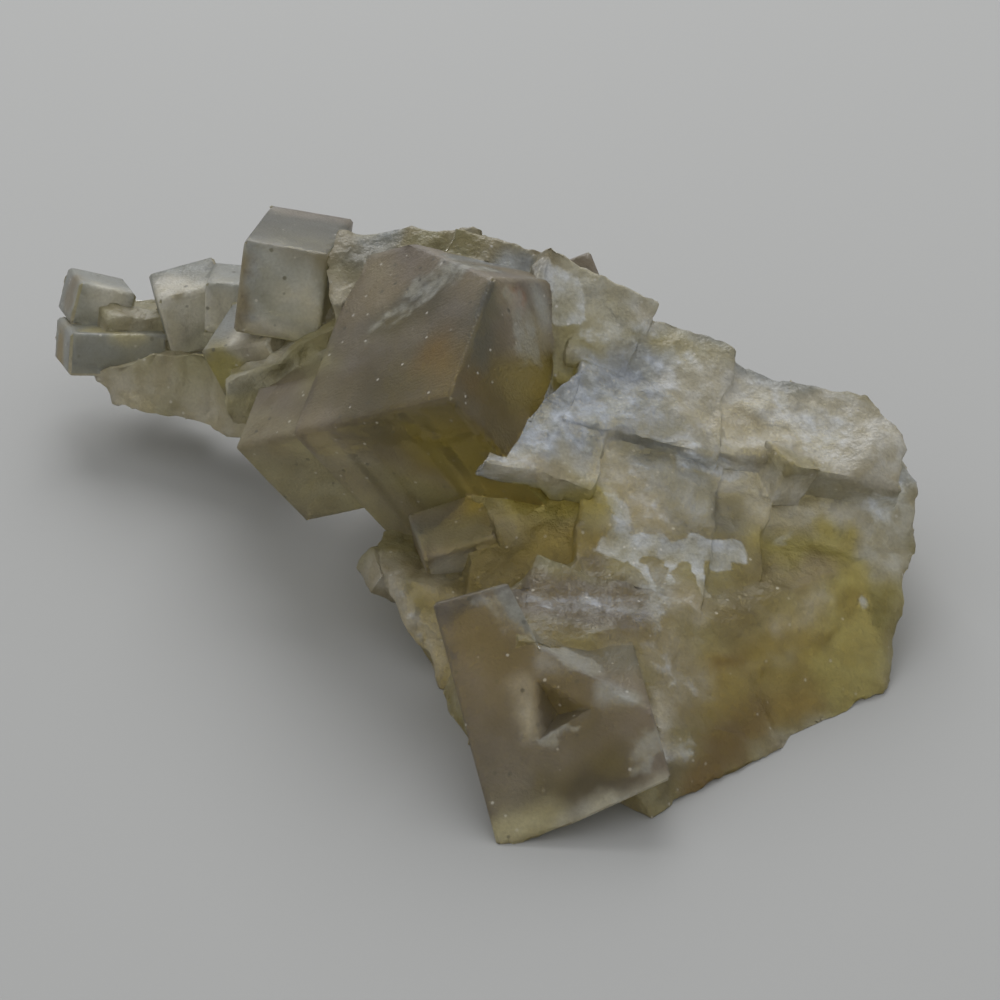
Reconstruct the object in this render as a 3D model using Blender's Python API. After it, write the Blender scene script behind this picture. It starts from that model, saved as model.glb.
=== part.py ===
"""Cubic fluorite: one hand specimen of intergrown cubes on a broken, cleaved base.

The specimen is laid out in millimetres in a frame of its own: +X along its length, +Y to its back,
+Z up, with the surface it rests on at Z = 0. Each group of crystals or of broken faces has its own
frame: it starts at a named corner, and is turned so that its X, Y and Z run along the edges of the
group's cubes. The finished solid is scaled to metres, with the middle of its underside's bounding
box at the origin.
"""
import bpy
import bmesh
from math import radians
from mathutils import Euler, Matrix, Vector, noise

NAME = "fluorite_cluster"
MM = 0.001

COLOUR = (0.17, 0.13, 0.07, 1.0)  # brown-olive fluorite
ROUGHNESS = 0.35

WORN = 0.22  # width of the crystals' worn edges
FACET = 1.7  # usual distance between two cleavage cracks on broken ground
SPREAD = 0.4  # how far that distance varies, as a share of it
REACH = 60.0  # the cracks start and end this far from the frame's origin, beyond the specimen
FACET_WAYS = ((1, 0.3, 0), (-0.3, 1, 0.2), (0.2, 0.1, 1))  # the cracks' ways in the ledge's frame
UNEVEN = ((5.0, 0.7), (1.9, 0.45))  # broken ground: over how long a run it wanders, and how far
SEED = 11  # of that wandering

# Each group: the corner that its measures start from, and how its cubes are turned, in degrees.
GROUPS = {
    "world": ((0, 0, 0), (0, 0, 0)),
    # The cubes that stand on top: the large one, the one behind its left shoulder, the low front one.
    "main": ((-14.8, 6.4, 14.1), (24, -27, -28)),
    "middle": ((-18.3, 21.6, 21.4), (-14, 6, -9)),
    "small": ((-5.3, -0.8, 8.2), (18, -12, 14)),
    # The large cube at the front, which lies half buried with one face up.
    "front": ((-0.2, -23.3, 0.0), (-48, -13, 8)),
    "wedge": ((2.8, -13.8, 9.3), (17.0, 7.7, 38.7)),
    "notch": ((3.9, -15.6, 5.3), (-11.9, -61.2, 164.8)),
    # The arm that reaches out to the far left, and the small cubes on it.
    "tail": ((-32.7, 29.4, 9.2), (-16, 9, 14)),
    "tail_top": ((-32.2, 33.6, 11.3), (-14, 20, 12)),
    "neck": ((-25.9, 29.6, 11.9), (-4, -10, 14)),
    "neck_top": ((-22.3, 29.6, 13.5), (-10, 2, -4)),
    "arm": ((-31.0, 29.3, 5.4), (-20, -3, -30)),
    "arm_gap": ((-28.5, 32.0, 9.2), (-12, 6, 20)),
    "arm_end": ((-22.3, 21.7, 12.1), (10, -20, -24)),
    # The cleaved base: its ledges, its sloping right and front faces, and the ridge behind.
    "ledge": ((-1.1, 1.2, 15.4), (21.1, 15.5, -3.3)),
    "bank": ((15.0, -15.8, 0.0), (45.9, 0, 41.5)),
    "apron": ((2.8, -13.8, 9.3), (8.9, 16.4, -8)),
    "plateau": ((16.2, 5.6, 12.9), (19.0, 13.0, 1.0)),
    "lump": ((20.9, 5.9, 12.0), (10, 20, 30)),
    "lump_low": ((-8.0, 2.4, 4.8), (20, 30, 20)),
    "crest": ((-10.2, 23.9, 21.3), (20.4, 0.8, -2)),
    "crest_end": ((-2.2, 20.3, 23.1), (27.8, 13.6, -12.7)),
    "ridge": ((4.3, 16.8, 23.3), (39.8, 26.6, -7.7)),
    # Cubes that stand out of the back slope; these frames start at a cube's middle.
    "back_high": ((5.0, 20.6, 14.5), (28, -18, 12)),
    "back_left": ((-3.0, 22.5, 8.5), (10, 25, -20)),
    "back_low": ((12.5, 20.5, 6.0), (-15, 30, 40)),
    "back_right": ((22.5, 18.0, 5.6), (20, 10, -35)),
}

# Whole crystals: the group, two opposite corners in it, and the breaks. A break is the group that it
# is measured in, a point on it and the way it faces.
CRYSTALS = (
    ("main", (0.0, 0.0, -14.5), (14.5, 17.0, 0.0), [("main", (14.5, 11.0, 0.0), (0.62, 1.0, 0.8))]),
    ("main", (-7.1, 1.4, -10.3), (8.0, 7.2, -1.4), []),
    ("main", (-7.8, 4.4, -9.7), (6.0, 13.0, -2.8), []),
    ("middle", (-0.4, 0.0, -7.0), (6.0, 11.0, 0.0), []),
    ("small", (0.0, 0.0, -5.5), (5.5, 4.4, 0.0), []),
    ("tail", (0.0, 0.0, -3.3), (7.6, 6.0, 0.0), []),
    ("tail_top", (0.0, 0.0, -3.4), (4.6, 5.0, 0.0), []),
    ("neck", (0.0, 0.0, -5.0), (5.2, 5.2, 0.0), []),
    ("neck_top", (0.0, 0.0, -4.0), (4.5, 5.0, 0.0), []),
    ("arm_end", (0.0, 0.0, -5.0), (6.0, 6.0, 0.0), []),
    ("back_high", (-3.6, -3.6, -3.6), (3.6, 3.6, 3.6), []),
    ("back_left", (-4.4, -4.4, -4.4), (4.4, 4.4, 4.4), []),
    ("back_low", (-4.7, -4.7, -4.7), (4.7, 4.7, 4.7), []),
    ("back_right", (-3.2, -3.2, -3.2), (3.2, 3.2, 3.2), []),
)

# The front cube, with its lower right edge broken off clear of the ground, and what is taken out of
# it besides: its upper right corner, and a three-sided notch.
FRONT_CUBE = ("front", (0.0, 0.0, 0.0), (12.4, 13.0, 17.3), [
    ("world", (4.3, -22.3, 0.9), (0.375, -0.178, -0.91)),
])
FRONT_BREAKS = (
    ("wedge", (0.0, -9.0, 0.0), (18.0, 12.0, 12.0), []),
    ("notch", (0.0, 0.0, 0.0), (6.0, 6.0, 6.0), []),
)

# The broken base, as blocks that overlap. No two of them share a plane.
BLOCKS = (
    # The body that all the others stand on.
    ("world", (-5.0, -12.0, -2.0), (30.0, 27.0, 18.0), [
        ("world", (0, 27, 0), (-0.1, 0.9, 0.42)),
        ("bank", (15.5, 0, 0), (0.686, -0.728, 0)),
        ("bank", (0, 0, -0.6), (0, 0, 1)),
        ("ledge", (0, 0, -2.6), (0, 0, 1)),
        ("world", (21, 14, 13.6), (0.15, 0.8, 0.58)),
        ("world", (0, -2, 7.4), (-0.1, -0.5, 0.8)),
        ("world", (28.6, 10.2, 10.5), (0.9, 0.3, 0.5)),
        ("world", (-5, 0, 0), (-0.9, -0.2, 0.3)),
    ]),
    # The upper ledges, from the tip under the large cube to the back.
    ("ledge", (0.0, -0.2, -1.9), (8.5, 10.0, 0.0), [("ledge", (0, 0, 0), (-0.86, 0.5, 0))]),
    ("ledge", (4.2, 10.4, -4.4), (9.0, 15.5, 0.25), []),
    ("ledge", (5.4, 5.0, -5.0), (16.5, 16.2, 0.1), [("ledge", (15.3, 15.3, 0), (0.18, 1, 0.2))]),
    ("plateau", (-1.6, 0.0, -5.0), (12.8, 8.4, 0.0), [("plateau", (12.8, 5.2, 0), (0.75, 0.66, 0))]),
    ("lump", (-1.6, -1.4, -3.0), (1.6, 1.6, 0.4), []),
    # The terrace one step down.
    ("ledge", (7.9, -7.9, -6.0), (17.0, 6.0, -1.0), [("bank", (0, 0, 0.15), (0, 0, 1))]),
    ("ledge", (15.0, -4.5, -6.5), (21.0, 6.3, -1.4), [("bank", (0, 0, 0.3), (0, 0, 1))]),
    # The sloping right face and the ground above the front cube.
    ("bank", (-6.5, 0.0, -12.0), (26.0, 18.0, 0.0), [
        ("bank", (16.0, 0, 0), (0.686, -0.728, 0)),
        ("ledge", (0, 0, -1.2), (0, 0, 1)),
        ("apron", (0, 0, -0.15), (0, 0, 1)),
    ]),
    ("apron", (-2.0, 0.2, -8.0), (14.0, 9.0, 0.15), [("bank", (0, 0, -0.2), (0, 0, 1))]),
    # The ridge along the back.
    ("crest", (-1.6, -7.0, -8.0), (8.6, 0.0, 0.0), []),
    ("crest_end", (-1.0, -7.0, -9.0), (8.0, 0.0, 0.0), []),
    ("ridge", (-1.0, -9.0, -9.0), (8.0, 0.0, 0.0), []),
    # The left flank below the large cube.
    ("world", (-8.0, -5.3, -1.0), (1.2, 6.0, 6.2), [
        ("world", (-7.9, -0.8, 4.9), (-0.80, -0.1, -0.55)),
        ("world", (-4, -5, 0), (-0.5, -0.9, 0.4)),
    ]),
    ("lump_low", (-1.1, -1.3, -1.3), (2.2, 1.3, 1.0), []),
    # The root of the arm, and the arm.
    ("world", (-20.0, 18.0, 8.0), (-8.0, 26.6, 16.0), [
        ("world", (-16.0, 22.0, 13.2), (-0.5, 0.1, 0.8)),
        ("world", (-12, 27, 12), (0, 0.8, -0.6)),
    ]),
    ("arm_gap", (-1.5, 0.0, -5.0), (5.0, 4.0, 0.0), []),
    ("arm", (0.0, 0.0, -1.6), (16.0, 6.5, 3.2), [
        ("arm", (0.9, 0, -0.7), (-0.8, 0, -0.6)),
        ("arm", (5.0, 0, 3.2), (-0.5, 0, 1)),
    ]),
)

# What is below the surface that the specimen rests on.
GROUND = ("world", (-60, -60, -40), (60, 60, 0), [])


def group_frame(group):
    corner, turn = GROUPS[group]
    return Matrix.Translation(corner) @ Euler([radians(angle) for angle in turn]).to_matrix().to_4x4()


def break_off(shape, group, point, way):
    """Breaks off everything beyond a plane, and closes the break with a flat face."""
    frame = group_frame(group)
    everything = shape.verts[:] + shape.edges[:] + shape.faces[:]
    result = bmesh.ops.bisect_plane(shape, geom=everything, plane_co=frame @ Vector(point),
                                    plane_no=frame.to_3x3() @ Vector(way), clear_outer=True)
    rim = [item for item in result["geom_cut"] if isinstance(item, bmesh.types.BMEdge)]
    bmesh.ops.holes_fill(shape, edges=rim)


def block(name, measures, worn=0.0):
    """An object: a box between two corners of a group's frame, broken and with its edges worn."""
    group, low, high, breaks = measures
    low, high = Vector(low), Vector(high)
    shape = bmesh.new()
    place = Matrix.Translation((low + high) / 2) @ Matrix.Diagonal((*(high - low), 1.0))
    bmesh.ops.create_cube(shape, size=1.0, matrix=group_frame(group) @ place)
    for measured_in, point, way in breaks:
        break_off(shape, measured_in, point, way)
    if worn:
        bmesh.ops.bevel(shape, geom=shape.edges[:], offset=worn, segments=1, affect="EDGES")
    mesh = bpy.data.meshes.new(name)
    shape.to_mesh(mesh)
    shape.free()
    piece = bpy.data.objects.new(name, mesh)
    collection.objects.link(piece)
    return piece


def combine(whole, piece, how):
    """Joins a piece to the whole (UNION), or takes it out of the whole (DIFFERENCE)."""
    mixing = whole.modifiers.new(how, "BOOLEAN")
    mixing.operation = how
    mixing.solver = "EXACT"
    mixing.object = piece
    evaluated = whole.evaluated_get(bpy.context.evaluated_depsgraph_get())
    mesh = bpy.data.meshes.new_from_object(evaluated)
    whole.modifiers.clear()
    whole.data = mesh
    bpy.data.objects.remove(piece)


def crack(piece):
    """Turns flat breaks into uneven cleaved ground: three sets of cracks, then a gentle wander."""
    shape = bmesh.new()
    shape.from_mesh(piece.data)
    frame = group_frame("ledge").to_3x3()
    for way in FACET_WAYS:
        way = frame @ Vector(way).normalized()
        place = -REACH
        while place < REACH:
            everything = shape.verts[:] + shape.edges[:] + shape.faces[:]
            bmesh.ops.bisect_plane(shape, geom=everything, plane_co=way * place, plane_no=way)
            place += FACET * (1.0 + SPREAD * noise.noise(way * place))
    bmesh.ops.triangulate(shape, faces=shape.faces)
    for vertex in shape.verts:
        place = vertex.co.copy()
        for run, height in UNEVEN:
            vertex.co += height * noise.noise_vector(place / run)
    shape.to_mesh(piece.data)
    shape.free()


def outer_shell(shape):
    """The vertices of the outermost of the shape's closed shells."""
    shells = []
    unseen = set(shape.verts)
    while unseen:
        growing = [unseen.pop()]
        for vertex in growing:
            found = [edge.other_vert(vertex) for edge in vertex.link_edges]
            growing += [other for other in found if other in unseen]
            unseen.difference_update(found)
        shells.append(growing)
    return max(shells, key=len)


def finish(piece):
    """Fills pockets sealed between the blocks, scales the solid to metres, and moves the middle of
    its bounding box's bottom to the origin."""
    shape = bmesh.new()
    shape.from_mesh(piece.data)
    pockets = set(shape.verts).difference(outer_shell(shape))
    bmesh.ops.delete(shape, geom=list(pockets), context="VERTS")
    bmesh.ops.triangulate(shape, faces=shape.faces)
    low = Vector([min(vertex.co[axis] for vertex in shape.verts) for axis in range(3)])
    high = Vector([max(vertex.co[axis] for vertex in shape.verts) for axis in range(3)])
    bottom = Vector(((low.x + high.x) / 2, (low.y + high.y) / 2, low.z))
    bmesh.ops.transform(shape, matrix=Matrix.Scale(MM, 4) @ Matrix.Translation(-bottom),
                        verts=shape.verts)
    mesh = bpy.data.meshes.new(NAME)
    shape.to_mesh(mesh)
    shape.free()
    piece.data = mesh
    piece.data.materials.append(fluorite())


def fluorite():
    material = bpy.data.materials.new("fluorite")
    material.use_nodes = True
    surface = material.node_tree.nodes["Principled BSDF"]
    surface.inputs["Base Color"].default_value = COLOUR
    surface.inputs["Roughness"].default_value = ROUGHNESS
    surface.inputs["Metallic"].default_value = 0.0
    return material


noise.seed_set(SEED)
for leftover in list(bpy.data.objects):
    bpy.data.objects.remove(leftover)
collection = bpy.data.collections.new("Cubic fluorite")
bpy.context.scene.collection.children.link(collection)

cluster = block(NAME, BLOCKS[0])
for measures in BLOCKS[1:]:
    combine(cluster, block("block", measures), "UNION")
crack(cluster)
for measures in CRYSTALS:
    combine(cluster, block("crystal", measures, worn=WORN), "UNION")
front_cube = block("front_cube", FRONT_CUBE, worn=WORN)
for measures in FRONT_BREAKS:
    combine(front_cube, block("break", measures), "DIFFERENCE")
combine(cluster, front_cube, "UNION")
combine(cluster, block("ground", GROUND), "DIFFERENCE")
finish(cluster)
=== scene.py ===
"""The looks of a cubic fluorite specimen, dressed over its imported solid."""
from math import cos, radians, sin

import bmesh
import bpy
import numpy as np
from mathutils import Euler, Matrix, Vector, noise


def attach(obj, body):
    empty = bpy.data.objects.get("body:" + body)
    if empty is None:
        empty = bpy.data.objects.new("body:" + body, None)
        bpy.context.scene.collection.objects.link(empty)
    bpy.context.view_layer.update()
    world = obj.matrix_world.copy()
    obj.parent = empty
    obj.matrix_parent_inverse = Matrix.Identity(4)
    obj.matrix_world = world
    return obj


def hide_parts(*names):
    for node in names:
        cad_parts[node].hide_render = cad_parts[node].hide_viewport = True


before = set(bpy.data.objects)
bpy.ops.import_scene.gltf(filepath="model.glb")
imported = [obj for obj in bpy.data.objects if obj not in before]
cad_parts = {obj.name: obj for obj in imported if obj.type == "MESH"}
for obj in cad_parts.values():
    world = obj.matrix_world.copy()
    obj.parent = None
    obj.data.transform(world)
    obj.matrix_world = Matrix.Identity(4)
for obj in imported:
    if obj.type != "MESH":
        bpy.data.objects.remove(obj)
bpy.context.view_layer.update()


# ---------------------------------------------------------------------------------------------
# The stone: cubes of fluorite that grew into one another on a mass of the same mineral. The cubes
# keep flat, faintly wavy faces. Where the mass was broken from its vein it split along its
# cleavage, which left ledges and ragged steps a fraction of a millimetre high.
# ---------------------------------------------------------------------------------------------
MM = 0.001
SAME_PLACE = 0.001 * MM  # corners nearer than this are one
SAME_FACE = radians(0.3)  # faces that meet at less than this are one
LONGEST_CRACK = 3.3 * MM  # a face with a longer edge is a crystal's, and any other is a break
GRID = 0.7 * MM  # mesh size on the crystals' faces
GRID_TURN = Euler((0.35, -0.4, -0.45))  # so that no cut runs along a face
SPLITS = 2  # cuts in each edge of a broken face
SMOOTHINGS = 2  # times that a break is eased before its steps are put on
RAGGED = ((3.0, 0.3, 3), (1.2, 0.22, 3))  # run, height and steps of the breaks, mm
WAVY = ((6.0, 0.05), (2.0, 0.02))  # run and height of the waves on crystal faces, mm
REST = 0.05 * MM  # lower than this the stone lies flat on the table
SHARP = radians(24)  # edges sharper than this stay crisp

noise.seed_set(5)
bpy.ops.object.select_all(action="DESELECT")
stone = bpy.data.objects.new("stone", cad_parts["fluorite_cluster"].data.copy())
bpy.context.scene.collection.objects.link(stone)
stone.data.materials.clear()
stone.select_set(True)
bpy.context.view_layer.objects.active = stone
bpy.ops.object.mode_set(mode="EDIT")
bpy.ops.mesh.select_all(action="SELECT")
bpy.ops.mesh.remove_doubles(threshold=SAME_PLACE)
bpy.ops.mesh.dissolve_limited(angle_limit=SAME_FACE)
bpy.ops.object.mode_set(mode="OBJECT")

shape = bmesh.new()
shape.from_mesh(stone.data)
broken = shape.faces.layers.int.new("is_broken")
for face in shape.faces:
    face[broken] = max(edge.calc_length() for edge in face.edges) < LONGEST_CRACK
for axis in range(3):
    way = Vector([float(axis == other) for other in range(3)])
    way.rotate(GRID_TURN)
    depths = [vertex.co.dot(way) for vertex in shape.verts]
    cut = min(depths) + GRID / 2
    while cut < max(depths):
        flat = [face for face in shape.faces if not face[broken]]
        edges = {edge for face in flat for edge in face.edges}
        corners = {vertex for face in flat for vertex in face.verts}
        bmesh.ops.bisect_plane(shape, geom=flat + list(edges) + list(corners),
                               plane_co=way * cut, plane_no=way)
        cut += GRID
bmesh.ops.triangulate(shape, faces=shape.faces)
split_edges = {edge for face in shape.faces if face[broken] for edge in face.edges}
bmesh.ops.subdivide_edges(shape, edges=list(split_edges), cuts=SPLITS, use_grid_fill=True)
bmesh.ops.triangulate(shape, faces=shape.faces)
inner = [vertex for vertex in shape.verts if all(face[broken] for face in vertex.link_faces)]
for _ in range(SMOOTHINGS):
    bmesh.ops.smooth_vert(shape, verts=inner, factor=0.5, use_axis_x=True, use_axis_y=True,
                          use_axis_z=True)
shape.normal_update()
rough_share = shape.verts.layers.float.new("broken")
for vertex in shape.verts:
    vertex[rough_share] = sum(face[broken] for face in vertex.link_faces) / len(vertex.link_faces)
moves = []
for vertex in shape.verts:
    place = vertex.co / MM
    height = 0.0
    if vertex[rough_share] == 1.0:
        for run, size, steps in RAGGED:
            height += size * round(steps * noise.noise(place / run)) / steps
    elif vertex[rough_share] == 0.0:
        for run, size in WAVY:
            height += size * noise.noise(place / run)
    moves.append(vertex.normal * height * MM)
for vertex, move in zip(shape.verts, moves):
    if vertex.co.z > REST:
        vertex.co += move
    vertex.co.z = max(vertex.co.z, 0.0)
shape.to_mesh(stone.data)
shape.free()
bpy.ops.object.shade_smooth_by_angle(angle=SHARP)
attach(stone, "root")
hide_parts("fluorite_cluster")


# The stone's colours: a brown-mauve skin, yellow-olive where one sees into it, and a bluish white
# frost of tiny cracks on the breaks. A few zones are painted light instead: highlights, sky
# reflection and light in shaded hollows, marked below. Each zone is a soft patch round a line
# between two places.
# It is given by its colour or strength, the two places, its reach and how softly it ends, in mm.
def colour(red, green, blue):
    """A colour as the eye reads it, 0 to 255, in the renderer's linear numbers."""
    return np.array([((part / 255 + 0.055) / 1.055) ** 2.4 for part in (red, green, blue)])


BROWN = colour(134, 123, 104)
MAUVE = colour(124, 114, 103)
DARK_BROWN = colour(86, 79, 60)
RED_BROWN = colour(112, 88, 46)
ORANGE_BROWN = colour(138, 116, 56)
AMBER = colour(154, 136, 78)
HONEY = colour(190, 166, 86)
EARTH = colour(104, 95, 78)
GREY_BROWN = colour(111, 104, 94)
UMBER = colour(120, 109, 78)
RUST = colour(180, 108, 62)
OLIVE = colour(146, 139, 104)
PALE_OLIVE = colour(164, 156, 124)
DEEP_OLIVE = colour(102, 84, 4)
YELLOW_GREEN = colour(166, 155, 88)
STRAW = colour(176, 168, 132)
SAND = colour(152, 144, 122)
CREAM = colour(190, 186, 168)
DRAB = colour(118, 115, 101)
BEIGE = colour(178, 170, 150)
PINK_BEIGE = colour(140, 127, 98)
WARM_WHITE = colour(201, 197, 184)
BLUE_WHITE = colour(162, 167, 172)
PALE_GREY = colour(164, 166, 163)
GREY = colour(144, 146, 142)
BLUE_GREY = colour(130, 134, 137)
SLATE = colour(118, 122, 124)
DARK_GREY = colour(82, 82, 76)

# Stains on the crystals' faces.
FACE_TINTS = (
    # The arm: grey in front, brown at the edges.
    (GREY, (-31, 24, 10), (-20, 22, 11), 9.0, 0.3),
    (WARM_WHITE, (-24, 23, 12), (-20, 21, 11), 2.4, 0.4),
    (STRAW, (-29, 23.3, 8.6), (-23, 22, 8.8), 0.9, 0.4),
    (SLATE, (-29.5, 21.3, 7.3), (-24.5, 19.8, 7.5), 1.5, 0.3),
    (ORANGE_BROWN, (-31.8, 24.4, 7.0), (-31.8, 24.4, 5.0), 1.2, 0.5),
    (WARM_WHITE, (-28, 25.9, 10.2), (-27, 26.2, 9.8), 1.2, 0.8),
    (BROWN, (-31.5, 27, 11), (-31.5, 27, 9), 1.2, 0.5),
    (SAND, (-23.3, 22.2, 12.2), (-20, 21.4, 12.6), 0.4, 0.5),
    (WARM_WHITE, (-22.6, 21.7, 8.5), (-22, 21.5, 10), 1.4, 0.6),
    (WARM_WHITE, (-17.4, 13.5, 13.2), (-16.8, 13.2, 12.4), 1.2, 0.6),
    (YELLOW_GREEN, (-19, 13.5, 10.6), (-17.5, 9.8, 11), 2.0, 0.5),
    # The cube behind the shoulder of the large one: dark on top, pale and clouded in front.
    (DARK_GREY, (-16, 18, 19.6), (-9, 17, 19.6), 4.6, 0.2),
    (PALE_GREY, (-16, 12.4, 19), (-12, 12, 16), 3.2, 0.4),
    (GREY, (-15.2, 12.4, 17.4), (-14.6, 12.4, 16.6), 0.8, 0.8),
    (WARM_WHITE, (-12.5, 12.2, 17.6), (-11.4, 12, 16.4), 1.0, 1.0),
    (BROWN, (-17.1, 13.5, 20.5), (-16.7, 12.3, 15), 0.8, 0.4),
    (WARM_WHITE, (-15.6, 12.1, 15.3), (-12.9, 11.6, 15), 0.5, 0.5),
    (BEIGE, (-15.8, 12.4, 14.2), (-14.8, 12, 13.6), 1.0, 0.8),
    # The large cube: pale and greenish low on the left, a deep olive glow low on the right.
    (GREY_BROWN, (-9.5, 4, 17.4), (-2, 0.6, 21.6), 3.4, 0.5),
    (PALE_OLIVE, (-14.5, 5, 8), (-7.4, 1.2, 6.2), 3.6, 0.6),
    (PALE_GREY, (4.8, 5.4, 21.4), (5.4, 4.4, 21), 1.0, 0.8),
    (STRAW, (-8.6, 1.6, 6.2), (-7.8, 1.4, 6), 1.2, 1.0),
    (WARM_WHITE, (-10.6, 15, 15.4), (-10, 14.4, 15.4), 1.4, 0.8),
    (PALE_OLIVE, (-11.8, 1.5, 11.4), (-11.4, 0.9, 10), 1.4, 0.9),
    (OLIVE, (-12.5, 10, 14.6), (-10.7, 4, 16), 1.8, 0.8),
    (EARTH, (-11.4, 2.4, 15), (-4.3, -3.2, 19.4), 1.7, 0.6),
    (SAND, (-10, -1.2, 11.2), (-7, -2.4, 11.8), 1.6, 0.9),
    (OLIVE, (-5, -2.6, 10.5), (-1.9, -3, 9.2), 1.8, 0.9),
    (SAND, (4.8, 2.6, 20.8), (5.7, 2.6, 18.4), 1.0, 0.8),
    (DARK_GREY, (-6, 4.4, 20), (0.8, 6.6, 23.4), 1.4, 0.9),
    (DARK_BROWN, (-5.5, -3, 18), (0, -4, 20.5), 3.6, 0.8),
    (DARK_BROWN, (-5.6, 4, 20), (-2, 3.4, 22), 1.2, 0.9),
    (RED_BROWN, (-2.4, -1.4, 21), (-0.8, -4.5, 20), 1.4, 1.0),
    (DEEP_OLIVE, (2.4, -3, 18.4), (7, 2, 16.6), 2.2, 0.5),
    (DEEP_OLIVE, (-1.5, -6, 15.5), (8, -6, 12), 3.2, 0.7),
    (HONEY, (1, -5, 11.2), (4.4, -5.2, 11), 1.4, 0.8),
    (ORANGE_BROWN, (4.4, -0.8, 16.4), (5, -0.2, 16.6), 0.9, 0.9),
    (DARK_GREY, (1.7, 1.4, 24.2), (0.9, -2.8, 21.5), 0.9, 0.5),
    (BLUE_GREY, (-0.7, 8.9, 22.7), (3.4, 9.9, 21.5), 1.2, 0.4),
    (RUST, (3.3, 2.9, 22.8), (3.5, 2.2, 22.2), 0.4, 0.8),
    # The front cube: darker within, grey-white where its corner is gone, greenish at its foot.
    (GREY_BROWN, (2, -20, 10), (6, -28, 3.6), 5.6, 0.3),
    (GREY, (4, -19.6, 11.2), (7, -20.5, 9.6), 1.4, 0.8),
    (EARTH, (0, -20, 10.4), (2.4, -22, 8.6), 1.2, 0.9),
    (DRAB, (7, -20, 9.6), (12.6, -20, 6.4), 2.0, 0.6),
    (PALE_GREY, (4.8, -22, 9), (5.2, -22.6, 8.4), 0.7, 0.9),
    (BEIGE, (3.6, -23.4, 7.4), (4.6, -26.2, 5), 0.55, 0.8),
    (DARK_BROWN, (6, -29, 2.4), (9.4, -27.8, 4), 1.5, 0.8),
    (DARK_BROWN, (6.4, -24.6, 6.4), (7.8, -25, 6), 1.1, 0.5),
    (OLIVE, (10.6, -24, 6.6), (12.4, -24.4, 4.6), 0.8, 0.8),
    (EARTH, (6.2, -24.4, 7), (7.6, -25, 6.4), 1.4, 0.6),
    (STRAW, (2.4, -31, 0.4), (5.6, -30.4, 1.2), 1.2, 0.8),
    # Painted highlight along the front cube's lower edge.
    (CREAM, (6, -30.6, 0.9), (13, -28.9, 3.4), 0.6, 1.0),
    (PALE_GREY, (9.6, -23.6, 7.6), (10.6, -24.2, 7), 0.7, 0.8),
    # The low cube below the large one.
    (DRAB, (-3.4, -6.8, 9.2), (0.8, -6.8, 9.6), 1.3, 0.5),
    (WARM_WHITE, (-2, -7.8, 6.6), (0, -7.6, 6), 1.6, 0.5),
)
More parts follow.
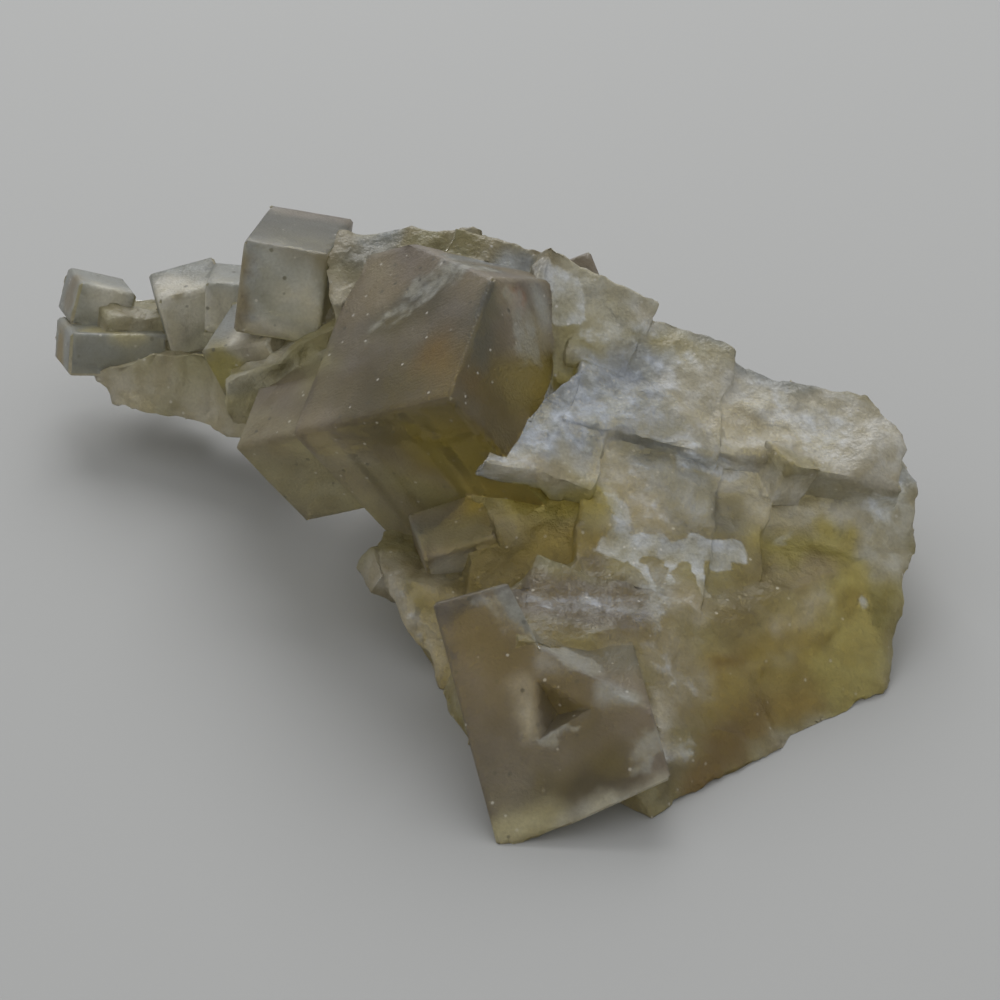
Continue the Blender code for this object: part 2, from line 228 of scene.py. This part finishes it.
# Stains on the breaks, and some zones of painted light, painted highlight and painted sky
# reflection, marked below.
BREAK_TINTS = (
    # The underside of the arm, and the ground round the shoulder.
    (BEIGE, (-31, 24, 6), (-26, 20, 5), 3.0, 0.8),
    (BEIGE, (-20, 16, 5), (-15, 12, 4.2), 2.4, 0.8),
    (STRAW, (-19, 13.5, 10.6), (-17.5, 9.8, 11), 1.8, 0.5),
    (WARM_WHITE, (-17.5, 13.4, 13.2), (-14, 11.4, 13), 1.5, 0.5),
    (CREAM, (-17.6, 9.4, 11.6), (-17, 9.2, 12), 1.2, 0.8),
    (CREAM, (-15.6, 10, 12.2), (-15, 9.6, 11.8), 1.0, 0.8),
    (BEIGE, (-12, 10, 18.6), (-9, 10, 18.8), 2.2, 0.5),
    (OLIVE, (-2.9, 14.4, 21), (-1.3, 10.9, 22.6), 1.0, 0.6),
    (DRAB, (-8, 12.6, 20.5), (-7, 14, 20.6), 1.4, 0.8),
    (GREY, (-6.6, 15, 20.8), (-6, 15.4, 20.8), 1.2, 0.6),
    (PALE_GREY, (2.8, 10, 21.5), (4, 9.6, 21.5), 1.2, 0.5),
    # The ridge behind, straw-coloured and greyer along its top.
    (WARM_WHITE, (7.6, 8, 21.4), (9.4, 7.4, 20.8), 1.4, 0.7),
    (CREAM, (8.6, 8, 21), (12.6, 6.4, 18.8), 3.0, 0.4),
    (OLIVE, (12, 5.4, 18.2), (12.8, 5.4, 18.2), 0.9, 0.8),
    (WARM_WHITE, (12.6, 6.8, 19), (13.6, 6.4, 18.4), 0.9, 0.5),
    # The upper ledges and the plateau.
    # Partly the ledges' own pale colour, partly painted sky reflection on their upward faces.
    (BLUE_WHITE, (4, -5, 15.5), (16, 3.4, 16.5), 4.0, 0.3),
    (STRAW, (14.5, 5.6, 17.2), (18.4, 4.6, 16.2), 1.6, 0.7),
    (YELLOW_GREEN, (6.2, 1.8, 16.8), (7.8, 2, 17), 0.8, 0.6),
    (BEIGE, (3.2, -7.2, 14.6), (8.6, -6, 13.6), 0.9, 0.4),
    (WARM_WHITE, (7.4, -5.2, 14.3), (8.2, -5.2, 14.1), 0.9, 0.8),
    # Painted highlight, and painted light on the ledge's downward-facing tip.
    (WARM_WHITE, (1, -6.4, 15.8), (3.4, -7, 15), 1.3, 0.4),
    (WARM_WHITE, (17.6, 2, 15), (28.5, 1.4, 12.2), 3.6, 0.4),
    (GREY, (20, 6, 15), (24, 5.4, 14.4), 1.2, 0.7),
    (BEIGE, (19, 1, 14), (20, 0.8, 13.6), 1.0, 0.8),
    (WARM_WHITE, (26, 3.4, 13.4), (30.2, 1.6, 11.6), 1.8, 0.6),
    (PALE_OLIVE, (22, -3.2, 12.2), (24, -3.2, 12.4), 1.7, 0.4),
    # The riser, and the terrace below it; three pale patches here are painted light in the shaded
    # crevice and riser.
    (PALE_GREY, (12, -6, 12), (16, -6, 11.4), 4.0, 0.3),
    (DRAB, (14, -8.4, 10.4), (18.4, -7.8, 9.4), 1.2, 0.8),
    (BEIGE, (11, -5.4, 12.4), (12.6, -7.4, 11.4), 1.6, 0.8),
    # Painted light: a pale patch that lightens the shaded crevice between ledge and plateau.
    (WARM_WHITE, (9, -6.6, 12.6), (10.4, -1.6, 13.8), 1.3, 0.4),
    # Painted light: a pale band that lightens the shaded riser.
    (PALE_GREY, (11.6, -1.6, 13.6), (17, -1.6, 12.6), 1.4, 0.4),
    (RED_BROWN, (10.9, -1.3, 14), (11.4, -1.2, 14), 0.4, 0.5),
    # Painted light: a pale patch that lightens the shaded recess.
    (WARM_WHITE, (18.2, -1.4, 12), (19.4, -3.4, 11), 1.8, 0.5),
    (DRAB, (18.6, -5, 10.4), (18.6, -6, 10), 1.2, 0.8),
    # The right face: olive, crossed by slanting bands; the first, pale one is painted light in the
    # shade under the plateau.
    # Painted light: a pale band that lightens the shade under the plateau.
    (WARM_WHITE, (21, -3.2, 9.8), (29, -3.4, 7.2), 2.2, 0.5),
    (YELLOW_GREEN, (22, -7, 8), (27, -6, 6.6), 2.0, 0.7),
    (YELLOW_GREEN, (25.4, -4, 7.3), (26.8, -3.8, 7.3), 0.9, 0.8),
    (OLIVE, (18, -13, 6), (25, -11, 4), 4.6, 0.4),
    (AMBER, (17.4, -19, 4), (23, -13.6, 4), 2.8, 0.6),
    (YELLOW_GREEN, (28.5, -8, 4.4), (26.5, -14, 1.4), 2.8, 0.5),
    (PINK_BEIGE, (23, -9.6, 6.6), (25, -7.4, 7), 1.0, 0.8),
    (BEIGE, (21.6, -13, 5.2), (25.6, -9.4, 5.6), 0.7, 0.9),
    (DEEP_OLIVE, (24.4, -12.6, 3.6), (27.6, -8, 4.8), 0.35, 1.2),
    (PALE_OLIVE, (19.6, -16.4, 4.6), (23, -14.2, 3.8), 0.4, 1.0),
    (RED_BROWN, (17.2, -17, 5), (19.4, -15.6, 5), 0.6, 1.2),
    (CREAM, (29.6, -5, 6), (30.8, 0.6, 8.6), 1.6, 0.6),
    (PALE_GREY, (30.8, 1.6, 9), (31.8, 2.4, 8), 1.2, 0.6),
    (ORANGE_BROWN, (20.2, -18.4, 1.6), (23.6, -15.6, 1), 1.3, 0.7),
    (RED_BROWN, (15.6, -24.4, 0.8), (19, -19, 1.6), 1.5, 0.7),
    # The ground above the front cube, and the dark hollow under the ledge's tip.
    (PALE_GREY, (12.6, -14, 8.6), (13.6, -13.6, 8.4), 1.6, 0.8),
    (BEIGE, (15, -14, 8), (15.8, -13.4, 7.8), 1.4, 0.6),
    (UMBER, (18.4, -14, 6.6), (21.2, -9.2, 7.4), 1.8, 0.7),
    (UMBER, (1, -9.4, 7.4), (5, -9.4, 8.4), 2.2, 0.6),
    (UMBER, (4.6, -8, 9.2), (8, -10.2, 10.7), 1.3, 0.8),
    (SAND, (12.2, -17.2, 7.6), (15.2, -19, 5), 2.0, 0.6),
    (WARM_WHITE, (12.8, -22, 4.6), (13.4, -24.4, 2.6), 0.9, 0.8),
    (DARK_BROWN, (13.2, -26, 1.2), (13.6, -25, 1.4), 0.9, 0.9),
    (EARTH, (8.2, -11.6, 9.8), (9, -12, 9.6), 0.9, 0.8),
    (DRAB, (4.8, -20.6, 10), (6.4, -21, 9.4), 0.8, 0.8),
    (DARK_BROWN, (9.4, -14, 9.6), (11.4, -14.8, 9.2), 0.9, 0.9),
    (GREY_BROWN, (4.6, -16.8, 10.4), (10, -16.4, 9.2), 2.7, 0.4),
    (AMBER, (5, -8.8, 9.6), (8.6, -9.4, 9.6), 1.4, 0.6),
    (YELLOW_GREEN, (3, -5, 11.5), (8.6, -7, 12), 1.8, 0.5),
    # The flank below the large cube.
    (BEIGE, (-6.2, -7, 5.6), (-2.4, -11.4, 2), 1.5, 0.5),
)
# The white frost of tiny cracks, on broken ground alone; two zones also paint light, marked below.
FROSTS_AND_PAINTED_LIGHT = (
    (1.0, (5.2, 7, 22.4), (6.9, 6.2, 20.4), 1.7, 0.2),  # the three-sided break by the large cube
    (0.6, (8.6, 5, 18.4), (14, 6, 18.4), 1.1, 0.6),
    (0.6, (3.6, -4.8, 15.4), (9.6, -0.4, 16.4), 2.6, 0.6),
    (0.5, (9.6, 0, 16.4), (16, 3.4, 16.4), 2.6, 0.6),
    # Painted highlight and painted light at the ledge's shaded tip, carried as frost.
    (0.9, (1.2, -6.6, 15.4), (3.4, -7.1, 14.9), 0.5, 0.6),
    (0.6, (21, 3.4, 14), (26, 1.6, 12.6), 2.6, 0.8),
    (0.45, (11.6, -3.6, 13), (13.2, -7.4, 11.2), 1.4, 0.7),
    (1.0, (10, -10.6, 10), (18.4, -8.6, 8.8), 1.1, 0.2),  # the terrace's ragged lower edge
    (1.0, (11.4, -10.8, 9.8), (12.6, -13, 9.2), 0.5, 0.3),
    (1.0, (14, -10.4, 9.4), (14.2, -12.2, 8.8), 0.4, 0.3),
    (1.0, (15.8, -10, 9), (17.2, -12.4, 8), 0.5, 0.3),
    (0.7, (10.4, -7, 11.6), (10.6, -10, 10.4), 1.0, 0.6),
    (0.62, (5, -17.4, 10.8), (12.6, -15.8, 8.8), 1.5, 0.8),
    (0.62, (13.4, -24.4, 2.6), (14.6, -23, 2.8), 1.2, 0.7),
    (0.48, (12.4, -17, 8), (14.4, -19.4, 4.8), 1.6, 0.8),
    (0.7, (29.6, -2, 8), (30.6, 0, 8.4), 1.3, 0.6),
    (0.8, (27.8, -8.2, 4.8), (27.4, -9.6, 4.2), 0.35, 0.5),
    (0.5, (22.2, -5.6, 7.8), (24, -4, 8), 0.9, 0.9),
    # Frost, partly painted light in the shaded crevice by the plateau.
    (0.9, (15.6, -2.8, 12.8), (19, -2, 11.4), 1.0, 0.7),
    (0.5, (-4.8, -9, 5.6), (-3, -11, 2.6), 1.0, 0.8),
)
# Where one sees deep into the stone: through crystal faces first, and then through breaks.
FACE_GLOWS = (
    (1.0, (2.4, -3, 18.4), (7, 2, 16.6), 2.0, 0.4),
    (1.0, (-1.5, -6, 15.5), (8, -6, 12), 3.4, 0.5),
    (0.8, (1, -5, 11.2), (5, -6, 11.4), 1.6, 0.6),
    (0.4, (6, -29, 2.4), (9.4, -27.8, 4), 1.3, 0.9),
)
BREAK_GLOWS = (
    (0.8, (6, 1.6, 16.8), (7, 2.4, 16.8), 0.7, 0.6),
    (0.6, (4, -7, 10), (8.8, -8.6, 11.6), 1.3, 0.7),
    (0.4, (-19, 13.5, 10.6), (-17.5, 9.8, 11), 1.6, 0.6),
    (0.5, (28.5, -9, 3.6), (26.5, -14, 1.4), 2.4, 0.6),
    (0.6, (15.4, -23, 2), (22, -14, 4), 2.4, 0.6),
    (0.4, (22, -7, 8), (27, -6, 6.6), 1.4, 0.8),
)
# Where crystal faces are rubbed or clouded white.
RUBS = (
    (0.58, (-7, 4, 19.6), (-3, 6, 21.6), 1.5, 0.8),
    (0.72, (-3, 6, 21.6), (0.8, 6.4, 23.6), 1.8, 0.8),
    (0.78, (3.6, 2.6, 22.4), (4.6, 1, 19.2), 1.5, 0.6),
    (0.6, (1.6, -18.6, 11.6), (5, -20.4, 10.2), 1.9, 0.7),
    (1.0, (4.6, -20.8, 9.8), (8.2, -22.4, 8), 0.85, 0.4),
    (0.9, (8.2, -22.4, 8), (12.8, -22.4, 4.4), 0.6, 0.5),
    (0.85, (5, -26.6, 4.7), (8.1, -25.2, 6.4), 0.3, 0.6),
    (0.75, (11.8, -27.4, 4.7), (12.6, -26.6, 5.2), 1.2, 0.5),
    (0.5, (-11.8, 12.1, 17.4), (-11.4, 12, 16), 1.0, 0.8),
)
WANDER_RUN, WANDER = 2.0, 0.9  # how far apart, and by how much, the zones' edges stray, mm
DRIFT_RUN, DRIFT_START = 4.0, Vector((7, 3, 1))  # the slow change between two colours, mm

points = np.array([vertex.co for vertex in stone.data.vertices]) / MM
strays = np.array([noise.noise_vector(Vector(point) / WANDER_RUN) for point in points])
places = points + WANDER * strays


def near(first, last, reach, soft):
    """How near each vertex is to the line between two places: 1 within reach, easing to 0."""
    first, line = np.array(first, float), np.array(last, float) - np.array(first, float)
    along = np.clip((places - first) @ line / max(line @ line, 1e-9), 0, 1)
    away = np.linalg.norm(places - first - along[:, None] * line, axis=1)
    share = np.clip((reach * (1 + soft) - away) / (2 * reach * soft), 0, 1)
    return share * share * (3 - 2 * share)


clouds = np.array([noise.noise(Vector(point) / DRIFT_RUN + DRIFT_START) for point in points])
drift = np.clip(clouds * 2 + 0.5, 0, 1)[:, None]


def tinted(tints, first, second):
    """Every vertex's colour: drifts between two, and is tinted by each zone in turn, stains and
    painted light alike.
    """
    shades = first + (second - first) * drift
    for tint, *zone in tints:
        shades = shades + (tint - shades) * near(*zone)[:, None]
    return shades


def strongest(zones):
    """How strongly each vertex is marked by the zone that marks it most."""
    return np.max([strength * near(*zone) for strength, *zone in zones], axis=0)


sides = stone.data.polygons
corner_vertex = np.array([loop.vertex_index for loop in stone.data.loops])
on_break = np.zeros(len(corner_vertex), bool)
for side, share in zip(sides, stone.data.attributes["is_broken"].data):
    on_break[side.loop_start:side.loop_start + side.loop_total] = share.value
shades = np.where(on_break[:, None], tinted(BREAK_TINTS, SAND, OLIVE)[corner_vertex],
                  tinted(FACE_TINTS, BROWN, MAUVE)[corner_vertex])
layer = stone.data.attributes.new("tint", "FLOAT_COLOR", "CORNER")
layer.data.foreach_set("color", np.column_stack([shades, np.ones(len(shades))]).ravel())
# The frost mask also holds a painted highlight and painted light in a shaded crevice.
for name, values in (("frost_and_painted_light", strongest(FROSTS_AND_PAINTED_LIGHT)[corner_vertex] * on_break),
                     ("rubbed", strongest(RUBS)[corner_vertex] * ~on_break),
                     ("glow", np.where(on_break, strongest(BREAK_GLOWS)[corner_vertex],
                                       strongest(FACE_GLOWS)[corner_vertex]))):
    layer = stone.data.attributes.new(name, "FLOAT", "CORNER")
    layer.data.foreach_set("value", values)


class Wire:
    """A socket in a material's node tree. Arithmetic on it adds the Math node that does it."""

    def __init__(self, tree, socket):
        self.tree = tree
        self.socket = socket

    def make(self, kind, settings=None, sockets=None, output=0):
        """Any node: its settings first, then the values or wires of its sockets."""
        node = self.tree.nodes.new(kind)
        for name, value in (settings or {}).items():
            setattr(node, name, value)
        for name, value in (sockets or {}).items():
            if isinstance(value, Wire):
                self.tree.links.new(value.socket, node.inputs[name])
            else:
                node.inputs[name].default_value = value
        return None if output is None else Wire(self.tree, node.outputs[output])

    def math(self, operation, *values):
        return self.make("ShaderNodeMath", {"operation": operation}, dict(enumerate(values)))

    def times(self, share):
        """This place or colour, times one number or three."""
        if isinstance(share, tuple):
            return self.make("ShaderNodeVectorMath", {"operation": "MULTIPLY"}, {0: self, 1: share})
        return self.make("ShaderNodeVectorMath", {"operation": "SCALE"},
                         {0: self, "Scale": share})

    def red(self):
        """The red part of this colour, as a number."""
        return self.make("ShaderNodeVectorMath", {"operation": "DOT_PRODUCT"},
                         {0: self, 1: (1.0, 0.0, 0.0)}, output=1)

    def beside(self, name):
        """Another output of the node that this wire comes from."""
        return Wire(self.tree, self.socket.node.outputs[name])

    def __add__(self, other):
        return self.math("ADD", self, other)

    def __sub__(self, other):
        return self.math("SUBTRACT", self, other)

    def __rsub__(self, other):
        return self.math("SUBTRACT", other, self)

    def __mul__(self, other):
        return self.math("MULTIPLY", self, other)

    __radd__ = __add__
    __rmul__ = __mul__

    def noise(self, run, detail=2.0):
        """Cloud noise from 0 to 1 over the place that this wire carries, in millimetres."""
        return self.make("ShaderNodeTexNoise", {}, {"Vector": self, "Scale": 1.0 / run,
                                                    "Detail": detail})

    def ramp(self, low, high, first=0.0, last=1.0):
        """Eases from first to last as this wire goes from low to high."""
        return self.make("ShaderNodeMapRange", {"interpolation_type": "SMOOTHSTEP"},
                         {"Value": self, "From Min": low, "From Max": high,
                          "To Min": first, "To Max": last})

    def paint(self, other, share):
        """This colour, painted over with another by a share of 0 to 1."""
        return self.make("ShaderNodeMix", {"data_type": "RGBA"}, {0: share, 6: self, 7: other},
                         output=2)


material = bpy.data.materials.new("fluorite")
material.use_nodes = True
tree = material.node_tree
tree.nodes.clear()
start = Wire(tree, None)


def marked(name, output=2):
    """A value that the mesh carries: a number, or a colour from output 0."""
    return start.make("ShaderNodeAttribute", {"attribute_name": name}, output=output)


def solid(shade):
    """A colour with nothing see-through about it."""
    return tuple(shade) + (1.0,)


place = start.make("ShaderNodeTexCoord", output=3).times(1 / MM)
# Patterns, each by the length over which it changes in millimetres, and where its edges lie.
FRAY_RUN, BLOTCH_RUN, GRAIN_RUN, CLOUD_RUN = 0.9, 2.0, 0.22, 1.5
CRINKLED = 5.0  # detail of a pattern with crinkled edges
CLOUD_EDGE, BLOTCH_EDGE = (0.38, 0.62), (0.3, 0.7)
FROST_EDGE, RUBBED_EDGE = (0.35, 0.75), (0.35, 0.85)
rough = marked("is_broken")
fray = place.noise(FRAY_RUN, CRINKLED) - 0.5
blotch = place.noise(BLOTCH_RUN)
grain = place.noise(GRAIN_RUN)
cloud = place.noise(CLOUD_RUN, CRINKLED).ramp(*CLOUD_EDGE)
# Frost, with a painted highlight at the ledge's tip and painted light in a shaded crevice.
frost_and_painted_light = (marked("frost_and_painted_light") + fray).ramp(*FROST_EDGE)
rubbed = (marked("rubbed") + fray * 1.2).ramp(*RUBBED_EDGE)

# The skin: frost (a few of its zones painted light) and rubbed places over the tints, and a mottle
# that darkens or lightens all.
FROST_WHITE, THIN_FROST, THICK_FROST = solid(colour(194, 198, 203)), 0.2, 0.7
RUBBED_GREY, RUBBED_SHARE = solid(colour(166, 166, 158)), 0.8
skin = marked("tint", output=0)
skin = skin.paint(FROST_WHITE, frost_and_painted_light * blotch.ramp(*BLOTCH_EDGE, THIN_FROST, THICK_FROST))
skin = skin.paint(RUBBED_GREY, rubbed * RUBBED_SHARE)
skin = skin.times((grain * 0.6 + blotch * 0.4) + 0.5)

# Clouds inside: bluer and paler here, more yellow and darker there, and more so on the breaks.
COOL, WARM = (1.1, 1.13, 1.2), (0.88, 0.85, 0.74)
CLOUDS, CLOUDS_ON_BREAKS = 0.4, 0.35  # their share everywhere, and what the breaks add to it
skin = skin.paint(skin.times(COOL).paint(skin.times(WARM), cloud),
                  rough * CLOUDS_ON_BREAKS + CLOUDS)

# Specks: pale dust everywhere, and dark grains in the crystals.
SPECKS_PER_MM = 1.1
DUST, DUST_SIZE, DUSTY, DUST_SHARE = solid(colour(215, 212, 205)), (0.08, 0.17), (0.55, 0.75), 0.75
GRAIN, GRAIN_SIZE, GRAINY, GRAIN_SHARE = solid(DARK_GREY), (0.12, 0.22), (0.3, 0.15), 0.85
speck = start.make("ShaderNodeTexVoronoi", {}, {"Vector": place, "Scale": SPECKS_PER_MM})
chance = speck.beside("Color").red()
dust = speck.ramp(*DUST_SIZE, 1.0, 0.0) * chance.ramp(*DUSTY) * DUST_SHARE
grains = speck.ramp(*GRAIN_SIZE, 1.0, 0.0) * chance.ramp(*GRAINY) * (1.0 - rough) * GRAIN_SHARE
skin = skin.paint(DUST, dust).paint(GRAIN, grains)

# Relief: a fine grit, and more of it on the breaks.
GRIT, GRIT_ON_BREAKS, HUMMOCKS_ON_BREAKS = 0.05, 0.2, 0.15  # heights, mm
grit = (grain * GRIT + fray * (rough * GRIT_ON_BREAKS + GRIT)
        + blotch * rough * HUMMOCKS_ON_BREAKS)
relief = start.make("ShaderNodeBump", {}, {"Strength": 1.0, "Distance": MM, "Height": grit})

# Part of the light turns back in the cloudy skin. The rest goes in, where its blue is soaked up.
FLUORITE_IOR = 1.434
DULL_SHEEN, DULL_ROUGHNESS = 0.25, 0.42
CLEAR_SKIN, CLEAR_ROUGHNESS = (0.93, 0.9, 0.8, 1.0), 0.28
INSIDE, ABSORBED = (0.86, 0.765, 0.18, 1.0), 88.0  # what passes, and how much is lost per metre
CLOUDY, CLEARER = 0.62, 0.37  # the cloudy share of the skin, and what a deep look takes from it
cloudy = start.make("ShaderNodeBsdfPrincipled", {}, {
    "Base Color": skin, "Roughness": frost_and_painted_light * 0.3 + rubbed * 0.2 + DULL_ROUGHNESS,
    "IOR": FLUORITE_IOR, "Specular IOR Level": DULL_SHEEN, "Normal": relief})
clear = start.make("ShaderNodeBsdfPrincipled", {}, {
    "Base Color": CLEAR_SKIN, "Roughness": CLEAR_ROUGHNESS, "IOR": FLUORITE_IOR,
    "Transmission Weight": 1.0, "Normal": relief})
cloudiness = (frost_and_painted_light * 0.3 + CLOUDY) - marked("glow") * CLEARER
surface = start.make("ShaderNodeMixShader", {}, {0: cloudiness, 1: clear, 2: cloudy})
inside = start.make("ShaderNodeVolumeAbsorption", {}, {"Color": INSIDE, "Density": ABSORBED})
start.make("ShaderNodeOutputMaterial", {}, {"Surface": surface, "Volume": inside}, output=None)
stone.data.materials.append(material)


# ---------------------------------------------------------------------------------------------
# The table it lies on: a plain pale board, level, with a matt grey finish. The stone rests on a
# few points, so that a hair's breadth of air is left under it.
# ---------------------------------------------------------------------------------------------
BOARD, AIR = 3.0, 0.03 * MM  # its width, and the gap under the stone
BOARD_GREY, BOARD_ROUGHNESS = colour(168, 169, 169), 0.7

bpy.ops.mesh.primitive_plane_add(size=BOARD, location=(0.0, 0.0, -AIR))
table = bpy.context.object
table.name = "table"
paint = bpy.data.materials.new("table_paint")
paint.use_nodes = True
board = paint.node_tree.nodes["Principled BSDF"]
board.inputs["Base Color"].default_value = solid(BOARD_GREY)
board.inputs["Roughness"].default_value = BOARD_ROUGHNESS
table.data.materials.append(paint)


# ---------------------------------------------------------------------------------------------
# Soft daylight from a window behind the stone, in a pale room that lights it from all round. The
# camera looks down on the stone from the front.
# ---------------------------------------------------------------------------------------------
WINDOW, WINDOW_WIDTH, WINDOW_POWER = Vector((-0.03, 0.54, 0.46)), 0.5, 2.3
ROOM_WHITE, ROOM_LIGHT = (1.0, 1.0, 0.99, 1.0), 0.66
TILT, STAND_OFF = radians(32), 300 * MM
AIM = Vector((2.2, -2.3, 9.1)) * MM
SENSOR, LENS = 36.0, 151.2

world = bpy.data.worlds.new("room")
world.use_nodes = True
room = world.node_tree.nodes["Background"]
room.inputs["Color"].default_value = ROOM_WHITE
room.inputs["Strength"].default_value = ROOM_LIGHT
bpy.context.scene.world = world
bpy.ops.object.light_add(type="AREA", location=WINDOW)
window = bpy.context.object
window.data.shape = "DISK"
window.data.size = WINDOW_WIDTH
window.data.energy = WINDOW_POWER
window.rotation_euler = WINDOW.to_track_quat("Z", "Y").to_euler()

bpy.ops.object.camera_add(location=AIM + STAND_OFF * Vector((0, -cos(TILT), sin(TILT))),
                          rotation=(radians(90) - TILT, 0, 0))
camera = bpy.context.object
camera.data.sensor_width = SENSOR
camera.data.lens = LENS
camera.data.clip_start = 10 * MM
bpy.context.scene.camera = camera
bpy.context.scene.view_settings.view_transform = "Standard"
